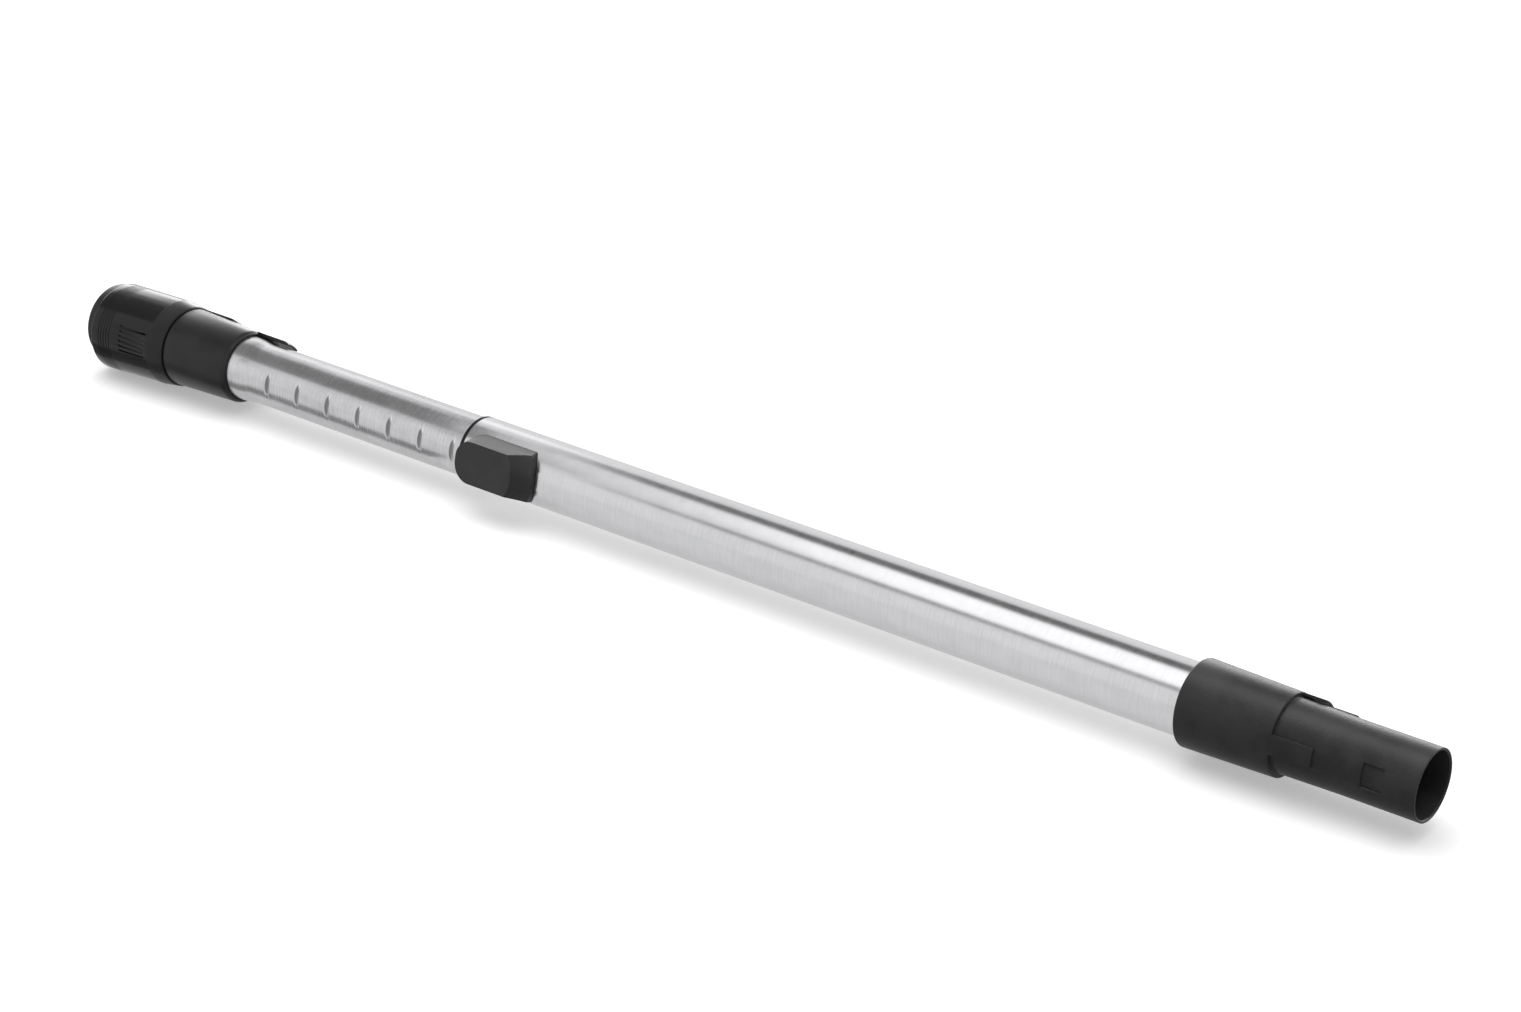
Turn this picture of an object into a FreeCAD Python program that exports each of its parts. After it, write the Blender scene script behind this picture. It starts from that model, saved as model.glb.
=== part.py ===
import FreeCAD, Part
import math
import os
import re
import Sketcher

# Telescopic vacuum wand, in millimetres. X runs along the wand from the socket to the spigot,
# and the origin is on the axis in the middle of the spigot's fit length. Every piece is drawn
# with the latch line up and then turned about X to the angle at which the wand lies.

doc = FreeCAD.newDocument("telescopic_wand")
sheet = doc.addObject("Spreadsheet::Sheet", "Sizes")

SIZES = {
    # the wand as a whole
    "latch_angle": 12.0,
    "side_step": 120.0,
    "fixed_gap": 0.05,
    "running_gap": 0.05,
    "free_gap": 0.3,
    "pin_radius": 1.2,
    "pin_side": 150.0,
    "rest_flat_depth": 0.4,
    # spigot end
    "spigot_fit_length": 38.0,
    "spigot_length": 69.0,
    "spigot_radius": 17.0,
    "spigot_root_radius": 17.5,
    "spigot_bore": 15.6,
    "collar_length": 47.5,
    "collar_front_radius": 19.8,
    "collar_rear_radius": 20.9,
    "collar_edge": 1.2,
    "tube_pocket": 36.5,
    "recess_start": 15.8,
    "recess_length": 10.2,
    "recess_width": 11.6,
    "recess_depth": 1.0,
    "tab_width": 9.4,
    "tab_radius": 19.6,
    "front_tab_length": 20.0,
    "back_tab_length": 11.5,
    "back_tab_thickness": 1.3,
    "rail_length": 13.0,
    "rail_width": 2.5,
    "rail_height": 0.7,
    "seal_thickness": 1.2,
    "spigot_pin_setback": 16.0,
    # tubes
    "outer_tube_radius": 17.5,
    "outer_tube_length": 458.8,
    "tube_wall": 0.45,
    "inner_tube_radius": 16.4,
    "inner_tube_length": 513.0,
    "neck_radius": 17.4,
    "neck_length": 42.0,
    "neck_taper": 12.0,
    "collar_pin_setback": 20.0,
    # notches
    "notch_count": 17,
    "rest_notch": 7,
    "notch_start": 29.4,
    "notch_pitch": 22.05,
    "notch_radius": 1.6,
    "notch_depth": 1.0,
    # guides between the tubes
    "bush_length": 42.0,
    "bush_lip": 2.0,
    "wiper_length": 2.0,
    "wiper_thickness": 0.3,
    "guide_length": 22.0,
    "guide_seal_length": 3.0,
    # latch
    "key_setback": 14.05,
    "key_length": 6.0,
    "key_width": 9.0,
    "key_height": 3.85,
    "key_ride": 0.15,
    "key_gap": 0.1,
    "saddle_thickness": 1.5,
    "saddle_width": 15.0,
    "saddle_front": 14.0,
    "saddle_rear": 6.0,
    "key_guide_wall": 1.3,
    "key_guide_height": 4.1,
    "rivet_radius": 1.2,
    "rivet_head_radius": 2.0,
    "rivet_head": 0.6,
    "rivet_setback": 11.5,
    "rivet_side": 17.0,
    "spring_axis_rise": 1.5,
    "spring_rod_radius": 0.6,
    "spring_rod_length": 9.5,
    "button_spring_radius": 1.1,
    "button_spring_wire": 0.4,
    "button_spring_pitch": 1.1,
    # release button
    "button_overhang": 0.1,
    "button_length": 50.0,
    "button_half_width": 13.2,
    "button_height": 24.2,
    "button_skirt": 12.0,
    "button_draft": 10.0,
    "button_nose": 12.0,
    "button_heel": 4.5,
    "button_bulge": 2.0,
    "button_front_curve": 20.0,
    "ramp_length": 14.5,
    "ramp_curve": 26.0,
    "ramp_low_radius": 19.9,
    "ramp_high_radius": 27.6,
    "button_roof": 2.2,
    "button_side_wall": 5.2,
    "button_front_block": 16.6,
    "button_nose_wall": 7.9,
    "button_travel": 5.0,
    # socket collar
    "satin_length": 44.3,
    "satin_front_radius": 20.0,
    "satin_rear_radius": 21.5,
    "satin_edge": 1.5,
    "neck_pocket": 38.3,
    "tongue_length": 22.0,
    "tongue_radius": 19.8,
    "tongue_thickness": 1.7,
    "tongue_root": 4.0,
    "barrel_radius": 19.0,
    "barrel_length": 57.0,
    "socket_radius": 17.25,
    "socket_depth": 44.0,
    "seat_bore": 15.5,
    "seal_radius": 16.9,
    # mouth ring
    "mouth_ring_radius": 21.0,
    "mouth_ring_overlap": 3.0,
    "mouth_ring_lip": 4.0,
    "mouth_ring_edge": 0.8,
    "mouth_ring_entry": 0.8,
    # release sleeve
    "sleeve_gap": 1.0,
    "sleeve_length": 53.0,
    "sleeve_front_radius": 22.3,
    "sleeve_shoulder_radius": 23.7,
    "sleeve_rim_radius": 24.2,
    "sleeve_cone_length": 10.0,
    "sleeve_rim_edge": 0.8,
    "sleeve_flare": 1.5,
    "sleeve_flare_side": 68.5,
    "sleeve_cavity_radius": 21.3,
    "sleeve_land": 4.0,
    "sleeve_rib_rear": 29.5,
    "sleeve_rib_front": 26.5,
    "sleeve_travel": 4.0,
    "strip_length": 29.0,
    "strip_slope": 6.0,
    "strip_width": 9.0,
    "strip_radius": 22.0,
    "strip_thickness": 2.0,
    "grip_grooves": 6,
    "grip_pitch": 2.7,
    "grip_length": 19.0,
    "grip_setback": 12.5,
    "grip_depth": 0.35,
    "grip_groove_width": 1.2,
    # socket pawl and sleeve spring
    "pawl_length": 6.0,
    "pawl_width": 8.0,
    "pawl_height": 2.05,
    "pawl_inset": 0.1,
    "sleeve_spring_wire": 1.0,
    "sleeve_spring_radius": 20.2,
    "sleeve_spring_pitch": 3.6,
}

for row, (alias, size) in enumerate(SIZES.items(), start=1):
    sheet.set(f"A{row}", alias.replace("_", " "))
    sheet.set(f"B{row}", str(size))
    sheet.setAlias(f"B{row}", alias)
doc.recompute()

WORDS = re.compile(r"\b(" + "|".join(SIZES) + r")\b")


def bound(text):
    """The expression that FreeCAD reads for a text written with the sheet's names."""
    return WORDS.sub(r"Sizes.\1", text)


def value(text):
    return float(sheet.evalExpression(bound(text)))


def tie(item, prop, text):
    item.setExpression(prop, bound(text))


# Places along X, each worked out from the sizes that lead to it
MOUTH = "(spigot_fit_length / 2)"
COLLAR_FRONT = f"({MOUTH} - spigot_length)"
COLLAR_REAR = f"({COLLAR_FRONT} - collar_length)"
POCKET_END = f"({COLLAR_REAR} + tube_pocket)"
TUBE_FRONT = f"({POCKET_END} - seal_thickness)"
TUBE_REAR = f"({TUBE_FRONT} - outer_tube_length)"
KEY_X = f"({TUBE_REAR} + key_setback)"
FIRST_NOTCH = f"({KEY_X} - rest_notch * notch_pitch)"
SATIN_FRONT = f"({FIRST_NOTCH} - notch_start)"
SATIN_REAR = f"({SATIN_FRONT} - satin_length)"
INNER_REAR = f"({SATIN_FRONT} - neck_pocket)"
INNER_FRONT = f"({INNER_REAR} + inner_tube_length)"
BARREL_REAR = f"({SATIN_REAR} - barrel_length)"
SEAT = f"({BARREL_REAR} + socket_depth)"
PAWL_X = f"({SEAT} - seal_thickness - recess_start - recess_length / 2)"
SLEEVE_FRONT = f"({SATIN_REAR} - sleeve_gap)"
SLEEVE_REAR = f"({SLEEVE_FRONT} - sleeve_length)"
SLEEVE_RIB = f"({SEAT} - sleeve_rib_rear)"
BUTTON_REAR = f"({TUBE_REAR} - button_overhang)"
BUTTON_FRONT = f"({BUTTON_REAR} + button_length)"
CAVITY_REAR = f"({BUTTON_REAR} + button_nose_wall)"
CAVITY_FRONT = f"({BUTTON_FRONT} - button_front_block)"
GUIDE_FACE = f"({KEY_X} + key_length / 2 + key_gap + key_guide_wall)"
OUTER_BORE = "(outer_tube_radius - tube_wall)"
INNER_BORE = "(inner_tube_radius - tube_wall)"
DOWN = "90 + latch_angle"


def sketch_on(body, role, name):
    plane = next(item for item in body.Origin.OriginFeatures if item.Role == role)
    sketch = body.newObject("Sketcher::SketchObject", name)
    sketch.AttachmentSupport = [(plane, "")]
    sketch.MapMode = "FlatFace"
    return sketch


def arc_between(start, end, radius):
    """An arc of a signed radius: positive runs counter-clockwise from start to end."""
    chord = end - start
    middle = (start + end) / 2
    across = FreeCAD.Vector(-chord.y, chord.x, 0).normalize()
    rise = math.sqrt(radius * radius - chord.Length ** 2 / 4)
    centre = middle + across * math.copysign(rise, radius)
    circle = Part.Circle(centre, FreeCAD.Vector(0, 0, 1), abs(radius))
    first, last = (start, end) if radius > 0 else (end, start)
    return Part.ArcOfCircle(circle, circle.parameter(first), circle.parameter(last))


def place_corner(sketch, edge, corner, xy):
    """Ties one end of an edge to its coordinates; a plain 0 lies on the sketch's axis."""
    for kind, axis, text in (("DistanceX", -2, xy[0]), ("DistanceY", -1, xy[1])):
        if text == "0":
            sketch.addConstraint(Sketcher.Constraint("PointOnObject", edge, corner, axis))
            continue
        rule = Sketcher.Constraint(kind, -1, 1, edge, corner, value(text))
        tie(sketch, f"Constraints[{sketch.addConstraint(rule)}]", text)


def outline(sketch, corners, arcs=None):
    """A closed outline through the corners; arcs gives signed radii by the first corner's number."""
    arcs = arcs or {}
    points = [FreeCAD.Vector(value(x), value(y), 0) for x, y in corners]
    ends = []
    for number, start in enumerate(points):
        end = points[(number + 1) % len(points)]
        if number in arcs:
            radius = value(arcs[number])
            sketch.addGeometry(arc_between(start, end, radius))
            ends.append((1, 2) if radius > 0 else (2, 1))
        else:
            sketch.addGeometry(Part.LineSegment(start, end))
            ends.append((1, 2))
    for number in range(len(points)):
        after = (number + 1) % len(points)
        joint = Sketcher.Constraint("Coincident", number, ends[number][1], after, ends[after][0])
        sketch.addConstraint(joint)
    for number, xy in enumerate(corners):
        place_corner(sketch, number, ends[number][0], xy)
    for number, radius in arcs.items():
        size = radius.lstrip("-")
        rule = Sketcher.Constraint("Radius", number, value(size))
        tie(sketch, f"Constraints[{sketch.addConstraint(rule)}]", size)


def turned(name, place, corners, arcs=None):
    """A body of revolution about the wand's axis; its corners are (X from its rear end, radius)."""
    body = doc.addObject("PartDesign::Body", name)
    sketch = sketch_on(body, "XZ_Plane", name + "_profile")
    outline(sketch, corners, arcs)
    turn = body.newObject("PartDesign::Revolution", name + "_turn")
    turn.Profile = sketch
    turn.ReferenceAxis = (sketch, ["H_Axis"])
    turn.Angle = 360
    tie(body, "Placement.Base.x", place)
    return body


def ring(name, place, length, inner, outer):
    return turned(name, place, [("0", inner), (length, inner), (length, outer), ("0", outer)])


def spin(item, side):
    """Turns an item about X by the angle side, in degrees."""
    item.Placement = FreeCAD.Placement(item.Placement.Base, FreeCAD.Rotation(FreeCAD.Vector(1, 0, 0), 1))
    tie(item, "Placement.Rotation.Angle", side)


def bar(name, place, length, width, low, height, side="0"):
    """A box along X, centred on the direction side and standing from low to low + height."""
    box = doc.addObject("Part::Box", name)
    tie(box, "Length", length)
    tie(box, "Width", width)
    tie(box, "Height", height)
    tie(box, "Placement.Base.x", place)
    angle = f"(({side}) * 1deg)"
    tie(box, "Placement.Base.y", f"-({width}) / 2 * cos{angle} - ({low}) * sin{angle}")
    tie(box, "Placement.Base.z", f"-({width}) / 2 * sin{angle} + ({low}) * cos{angle}")
    if side != "0":
        spin(box, side)
    return box


def post(name, place, radius, low, height, side="0"):
    """A cylinder that points outward at the direction side."""
    pin = doc.addObject("Part::Cylinder", name)
    tie(pin, "Radius", radius)
    tie(pin, "Height", height)
    tie(pin, "Placement.Base.x", place)
    angle = f"(({side}) * 1deg)"
    tie(pin, "Placement.Base.y", f"-({low}) * sin{angle}")
    tie(pin, "Placement.Base.z", f"({low}) * cos{angle}")
    if side != "0":
        spin(pin, side)
    return pin


def joined(name, items):
    fuse = doc.addObject("Part::MultiFuse", name)
    fuse.Shapes = items
    return fuse


def cut(name, base, tools):
    """The base less its tools."""
    less = doc.addObject("Part::Cut", name)
    less.Base = base
    less.Tool = tools[0] if len(tools) == 1 else joined(name + "_tools", tools)
    return less


def shared(name, first, second):
    common = doc.addObject("Part::MultiCommon", name)
    common.Shapes = [first, second]
    return common


def grouped(name, items):
    group = doc.addObject("Part::Compound", name)
    group.Links = items
    return group


SUBPARTS = []


def finish(item, label):
    """Names a sub-part and turns it from latch-up to the angle at which the wand lies."""
    spin(item, "90 - latch_angle")
    item.Label = label
    SUBPARTS.append(item)


def axle(name, place, radius, length, height="0"):
    """A cylinder along X, at a height above the wand's axis."""
    rod = doc.addObject("Part::Cylinder", name)
    rod.Placement.Rotation = FreeCAD.Rotation(FreeCAD.Vector(0, 1, 0), 90)
    tie(rod, "Radius", radius)
    tie(rod, "Height", length)
    tie(rod, "Placement.Base.x", place)
    tie(rod, "Placement.Base.z", height)
    return rod


def crossbar(name, place, radius, length, height):
    """A cylinder across the wand, at a height above its axis."""
    rod = doc.addObject("Part::Cylinder", name)
    rod.Placement.Rotation = FreeCAD.Rotation(FreeCAD.Vector(1, 0, 0), 90)
    tie(rod, "Radius", radius)
    tie(rod, "Height", length)
    tie(rod, "Placement.Base.x", place)
    tie(rod, "Placement.Base.y", f"({length}) / 2")
    tie(rod, "Placement.Base.z", height)
    return rod


def circle_across(name, place, radius, offset="0", side="0"):
    """A circle square to the wand, its centre offset in the direction side."""
    circle = doc.addObject("Part::Circle", name)
    circle.Placement.Rotation = FreeCAD.Rotation(FreeCAD.Vector(0, 1, 0), 90)
    tie(circle, "Radius", radius)
    tie(circle, "Placement.Base.x", place)
    tie(circle, "Placement.Base.y", f"-({offset}) * sin(({side}) * 1deg)")
    tie(circle, "Placement.Base.z", f"({offset}) * cos(({side}) * 1deg)")
    return circle


def coil(name, place, length, radius, wire, pitch, height="0"):
    """A round-wire coil along X; its ends are left as cut."""
    helix = doc.addObject("Part::Helix", name + "_line")
    helix.Placement.Rotation = FreeCAD.Rotation(FreeCAD.Vector(0, 1, 0), 90)
    tie(helix, "Radius", radius)
    tie(helix, "Pitch", pitch)
    tie(helix, "Height", f"({length}) - ({wire})")
    section = doc.addObject("Part::Circle", name + "_wire")
    section.Placement.Rotation = FreeCAD.Rotation(FreeCAD.Vector(1, 0, 0), 90)
    tie(section, "Radius", f"({wire}) / 2")
    tie(section, "Placement.Base.x", f"({place}) + ({wire}) / 2")
    tie(section, "Placement.Base.z", f"({height}) - ({radius})")
    tie(helix, "Placement.Base.x", f"({place}) + ({wire}) / 2")
    tie(helix, "Placement.Base.z", height)
    doc.recompute()
    sweep = doc.addObject("Part::Sweep", name)
    sweep.Sections = [section]
    sweep.Spine = (helix, ["Edge1"])
    sweep.Solid = True
    sweep.Frenet = True
    return sweep


def pins(name, place, low, height, radius="pin_radius"):
    """Two pins on the wand's hidden side."""
    return [post(f"{name}_{word}", place, radius, low, height, side)
            for word, side in (("left", "pin_side"), ("right", "-pin_side"))]


def rest_flat(name, place, length, lowest):
    """Takes the shallow flat off a round underside, where its mould parts and where the wand rests."""
    return bar(name, place, length, "collar_rear_radius", f"{lowest} - rest_flat_depth", "collar_edge", DOWN)


def key_window(name, low="0"):
    """The way for the key through whatever lies round the inner tube."""
    place = f"{KEY_X} - key_length / 2 - key_gap"
    return bar(name, place, "key_length + 2 * key_gap", "key_width + 2 * key_gap", low, "button_height")


# Spigot end

SPIGOT_PIN_X = f"({COLLAR_REAR} + spigot_pin_setback)"
COLLAR_PIN_X = f"({INNER_REAR} + collar_pin_setback)"


def spigot_tab(name, side, length, inner):
    start = f"{COLLAR_FRONT} - collar_edge"
    blank = ring(name + "_ring", start, f"{length} + collar_edge", inner, "tab_radius")
    return shared(name, blank, bar(name + "_width", start, f"{length} + collar_edge", "tab_width", "0",
                                   "collar_rear_radius", side))


def make_spigot_end():
    whole = "(collar_length + spigot_length)"
    pocket = "outer_tube_radius + fixed_gap"
    body = turned("spigot_body", COLLAR_REAR, [
        ("0", pocket),
        ("tube_pocket", pocket),
        ("tube_pocket", "spigot_bore"),
        (whole, "spigot_bore"),
        (whole, "spigot_radius"),
        (f"{whole} - spigot_fit_length", "spigot_radius"),
        ("collar_length", "spigot_root_radius"),
        ("collar_length", "collar_front_radius - collar_edge / 2"),
        ("collar_length - collar_edge / 2", "collar_front_radius"),
        ("collar_edge", "collar_rear_radius"),
        ("0", "collar_rear_radius - collar_edge"),
    ], {9: "collar_edge"})
    skin = "spigot_radius - recess_depth"
    front = spigot_tab("front_tab", "0", "front_tab_length", skin)
    added = [body, front]
    for word, side in (("top", "-side_step"), ("under", "side_step")):
        under = "tab_radius - back_tab_thickness"
        added.append(spigot_tab(f"{word}_tab", side, "back_tab_length", under))
        place = f"{COLLAR_FRONT} + back_tab_length + collar_edge"
        rise = "recess_depth + rail_height"
        added.append(bar(f"{word}_rail", place, "rail_length", "rail_width", skin, rise, side))
    place = f"{MOUTH} - recess_start - recess_length"
    recess = shared("latch_recess",
                    ring("recess_ring", place, "recess_length", skin, "spigot_radius + recess_depth"),
                    bar("recess_span", place, "recess_length", "recess_width", "0", "2 * spigot_radius"))
    holes = pins("spigot_hole", SPIGOT_PIN_X, "spigot_bore", "spigot_bore", "pin_radius + fixed_gap")
    flat = rest_flat("collar_flat", COLLAR_REAR, "collar_length", "collar_rear_radius")
    finish(cut("spigot_cut", joined("spigot_added", added), [recess, flat] + holes), "spigot_end")


def make_spigot_seal():
    seal = ring("seal_ring", TUBE_FRONT, "seal_thickness", "spigot_bore + free_gap", "outer_tube_radius")
    finish(seal, "spigot_seal")


def make_spigot_pins():
    reach = f"collar_front_radius - {OUTER_BORE}"
    finish(grouped("spigot_pin_pair", pins("spigot_pin", SPIGOT_PIN_X, OUTER_BORE, reach)), "spigot_pins")


# Tubes and what guides them

RIVET_X = f"({KEY_X} + rivet_setback)"
RIVET_SIDES = (("left", "rivet_side"), ("right", "-rivet_side"))
BUSH_BORE = "(inner_tube_radius + running_gap)"
SPRING_AXIS = "(outer_tube_radius + saddle_thickness + spring_axis_rise)"


def make_outer_tube():
    shell = ring("outer_shell", TUBE_REAR, "outer_tube_length", OUTER_BORE, "outer_tube_radius")
    ways = [key_window("outer_window")]
    ways += pins("tube_hole", SPIGOT_PIN_X, "spigot_bore", "spigot_bore", "pin_radius + fixed_gap")
    ways += [post(f"rivet_hole_{word}", RIVET_X, "rivet_radius + fixed_gap", "inner_tube_radius",
                  "saddle_thickness + tube_wall + running_gap", side) for word, side in RIVET_SIDES]
    finish(cut("outer_tube_cut", shell, ways), "outer_tube")


def make_guide_bush():
    whole = "(bush_lip + bush_length)"
    outer = f"{OUTER_BORE} - fixed_gap"
    bush = turned("bush_body", f"{TUBE_REAR} - bush_lip", [
        ("0", BUSH_BORE),
        (f"{whole} - wiper_length", BUSH_BORE),
        (f"{whole} - wiper_length", f"{BUSH_BORE} + wiper_thickness"),
        (whole, f"{BUSH_BORE} + wiper_thickness"),
        (whole, outer),
        ("bush_lip", outer),
        ("bush_lip", "outer_tube_radius"),
        ("0", "outer_tube_radius"),
    ])
    finish(cut("bush_cut", bush, [key_window("bush_window")]), "guide_bush")


def make_wiper_ring():
    place = f"{TUBE_REAR} + bush_length - wiper_length"
    body = ring("wiper_body", place, "wiper_length", BUSH_BORE, f"{BUSH_BORE} + wiper_thickness")
    finish(body, "wiper_ring")


def make_inner_tube():
    taper_end = "(neck_length + neck_taper)"
    shell = turned("inner_shell", INNER_REAR, [
        ("0", "neck_radius - tube_wall"),
        ("neck_length", "neck_radius - tube_wall"),
        (taper_end, INNER_BORE),
        ("inner_tube_length", INNER_BORE),
        ("inner_tube_length", "inner_tube_radius"),
        (taper_end, "inner_tube_radius"),
        ("neck_length", "neck_radius"),
        ("0", "neck_radius"),
    ])
    height = "inner_tube_radius + notch_radius - notch_depth"
    dents = []
    backs = []
    for number in range(round(value("notch_count"))):
        place = f"{FIRST_NOTCH} + {number} * notch_pitch"
        dents.append(crossbar(f"dent_{number}", place, "notch_radius", "inner_tube_radius", height))
        backs.append(crossbar(f"dent_back_{number}", place, "notch_radius + tube_wall",
                              "inner_tube_radius", height))
    core = axle("tube_core", INNER_REAR, "inner_tube_radius", "inner_tube_length")
    backing = shared("dent_backing", joined("dent_backs", backs), core)
    holes = pins("neck_hole", COLLAR_PIN_X, "seat_bore", "seat_bore", "pin_radius + fixed_gap")
    finish(cut("inner_tube_cut", joined("inner_blank", [shell, backing]), dents + holes), "inner_tube")


def make_inner_end():
    outer = f"{OUTER_BORE} - running_gap"
    inner = "inner_tube_radius + fixed_gap"
    guide_rear = f"({INNER_FRONT} - guide_length)"
    finish(ring("end_guide", guide_rear, "guide_length", inner, outer), "inner_end_guide")
    seal = ring("end_seal", f"{guide_rear} - guide_seal_length", "guide_seal_length", inner, outer)
    finish(seal, "inner_end_seal")


# Latch of the telescope

def make_latch_base():
    place = f"{KEY_X} - saddle_rear"
    length = "saddle_rear + saddle_front"
    lowest = "outer_tube_radius + fixed_gap"
    saddle = shared("saddle",
                    ring("saddle_ring", place, length, lowest, "outer_tube_radius + saddle_thickness"),
                    bar("saddle_span", place, length, "saddle_width", "0", "button_height"))
    rim = "2 * key_gap + 2 * key_guide_wall"
    guide = bar("key_guide", f"{KEY_X} - key_length / 2 - key_gap - key_guide_wall", f"key_length + {rim}",
                f"key_width + {rim}", lowest, "key_guide_height")
    rod = axle("spring_rod", f"{GUIDE_FACE} - key_guide_wall / 2", "spring_rod_radius",
               "spring_rod_length + key_guide_wall / 2", SPRING_AXIS)
    ways = [key_window("saddle_window")]
    ways += [post(f"saddle_hole_{word}", RIVET_X, "rivet_radius + fixed_gap", "outer_tube_radius",
                  "saddle_thickness * 2", side) for word, side in RIVET_SIDES]
    finish(cut("latch_base_cut", joined("latch_base_blank", [saddle, guide, rod]), ways), "latch_base")


def make_latch_rivets():
    head_low = "(outer_tube_radius + saddle_thickness + 2 * fixed_gap)"
    rivets = []
    for word, side in RIVET_SIDES:
        shank = post(f"shank_{word}", RIVET_X, "rivet_radius", OUTER_BORE, f"{head_low} - {OUTER_BORE}", side)
        head = post(f"head_{word}", RIVET_X, "rivet_head_radius", head_low, "rivet_head", side)
        rivets.append(joined(f"rivet_{word}", [shank, head]))
    finish(grouped("rivet_pair", rivets), "latch_rivets")


def make_latch_key():
    block = bar("key_block", f"{KEY_X} - key_length / 2", "key_length", "key_width",
                "inner_tube_radius + key_ride", "key_height")
    finish(grouped("key", [block]), "latch_key")


def make_button_spring():
    length = f"({CAVITY_FRONT} - {GUIDE_FACE} - button_travel - free_gap)"
    spring = coil("button_coil", f"{CAVITY_FRONT} - fixed_gap - {length}", length, "button_spring_radius",
                  "button_spring_wire", "button_spring_pitch", SPRING_AXIS)
    finish(spring, "button_spring")


def make_release_button():
    body = doc.addObject("PartDesign::Body", "button_block")
    plan = sketch_on(body, "XY_Plane", "button_plan")
    tie(plan, "AttachmentOffset.Base.z", "button_skirt")
    wide = "(2 * button_half_width)"
    corner = "button_length + button_bulge"
    outline(plan, [
        ("button_nose", "0"),
        (f"{corner} - button_heel", "0"),
        (corner, "button_heel"),
        (corner, f"{wide} - button_heel"),
        (f"{corner} - button_heel", wide),
        ("button_nose", wide),
        ("0", f"{wide} - button_nose"),
        ("0", "button_nose"),
    ], {1: "button_heel", 3: "button_heel", 5: "button_nose", 7: "button_nose"})
    pad = body.newObject("PartDesign::Pad", "button_pad")
    pad.Profile = plan
    tie(pad, "Length", "button_height - button_skirt")
    tie(pad, "TaperAngle", "-button_draft")
    tie(body, "Placement.Base.x", BUTTON_REAR)
    tie(body, "Placement.Base.y", "-button_half_width")
    envelope = turned("button_envelope", BUTTON_REAR, [
        ("0", "0"),
        ("button_length", "0"),
        ("button_length", "ramp_low_radius"),
        ("button_length - ramp_length", "ramp_high_radius"),
        ("0", "ramp_high_radius"),
    ], {2: "-ramp_curve"})
    tube_way = axle("button_way", BUTTON_REAR, "outer_tube_radius + free_gap", "button_length")
    cavity = bar("button_cavity", CAVITY_REAR, f"{CAVITY_FRONT} - {CAVITY_REAR}",
                 "2 * (button_half_width - button_side_wall)", "0", "button_height - button_roof")
    bowed = joined("button_limits", [
        post("button_front", f"{BUTTON_FRONT} - button_front_curve", "button_front_curve", "0",
             "2 * button_height", "0"),
        bar("button_back", f"{BUTTON_REAR} - button_bulge", "button_length - button_front_curve + button_bulge",
            "4 * button_half_width", "0", "2 * button_height"),
    ])
    form = shared("button_form", shared("button_trim", body, envelope), bowed)
    finish(cut("button_cut", form, [tube_way, cavity]), "release_button")


# Socket end

def make_socket_collar():
    whole = "(barrel_length + satin_length)"
    pocket = "neck_radius + fixed_gap"
    body = turned("socket_body", BARREL_REAR, [
        ("0", "socket_radius"),
        ("socket_depth - seal_thickness", "socket_radius"),
        ("socket_depth - seal_thickness", "seal_radius"),
        ("socket_depth", "seal_radius"),
        ("socket_depth", "seat_bore"),
        (f"{whole} - neck_pocket", "seat_bore"),
        (f"{whole} - neck_pocket", pocket),
        (whole, pocket),
        (whole, "satin_front_radius - satin_edge"),
        (f"{whole} - satin_edge", "satin_front_radius"),
        ("barrel_length", "satin_rear_radius"),
        ("barrel_length", "barrel_radius"),
        ("0", "barrel_radius"),
    ], {8: "satin_edge"})
    under = "tongue_radius - tongue_thickness"
    reach = "(tongue_root + tongue_length)"
    place = f"{SATIN_FRONT} - tongue_root"
    tongue_form = turned("tongue_ring", place, [
        ("0", under),
        (reach, under),
        (reach, f"{under} + tongue_thickness / 2"),
        (f"{reach} - tongue_thickness / 2", "tongue_radius"),
        ("0", "tongue_radius"),
    ], {2: "tongue_thickness / 2"})
    tongue = shared("tongue", tongue_form, bar("tongue_width", place, reach, "tab_width", "0",
                                               "satin_rear_radius", "-side_step"))
    floor = "strip_radius - strip_thickness - free_gap"
    channel = bar("strip_channel", SLEEVE_FRONT, "strip_length + free_gap", "strip_width + 2 * free_gap",
                  "0", "2 * satin_rear_radius", "-side_step")
    deep = ring("channel_ring", SLEEVE_FRONT, "strip_length + free_gap", floor, "2 * satin_rear_radius")
    gap = "2 * key_gap"
    window = bar("pawl_window", f"{PAWL_X} - pawl_length / 2 - key_gap", f"pawl_length + {gap}",
                 f"pawl_width + {gap}", "0", "2 * barrel_radius")
    holes = pins("satin_hole", COLLAR_PIN_X, "seat_bore", "seat_bore", "pin_radius + fixed_gap")
    blank = joined("socket_blank", [body, tongue])
    finish(cut("socket_cut", blank, [shared("channel", channel, deep), window] + holes), "socket_collar")


def make_collar_pins():
    low = "neck_radius - tube_wall"
    pair = pins("satin_pin", COLLAR_PIN_X, low, f"satin_front_radius - ({low})")
    finish(grouped("satin_pin_pair", pair), "collar_pins")


def make_socket_seal():
    seal = ring("seat_ring", f"{SEAT} - seal_thickness", "seal_thickness", "seat_bore + free_gap",
                "seal_radius - fixed_gap")
    finish(seal, "socket_seal")


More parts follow.
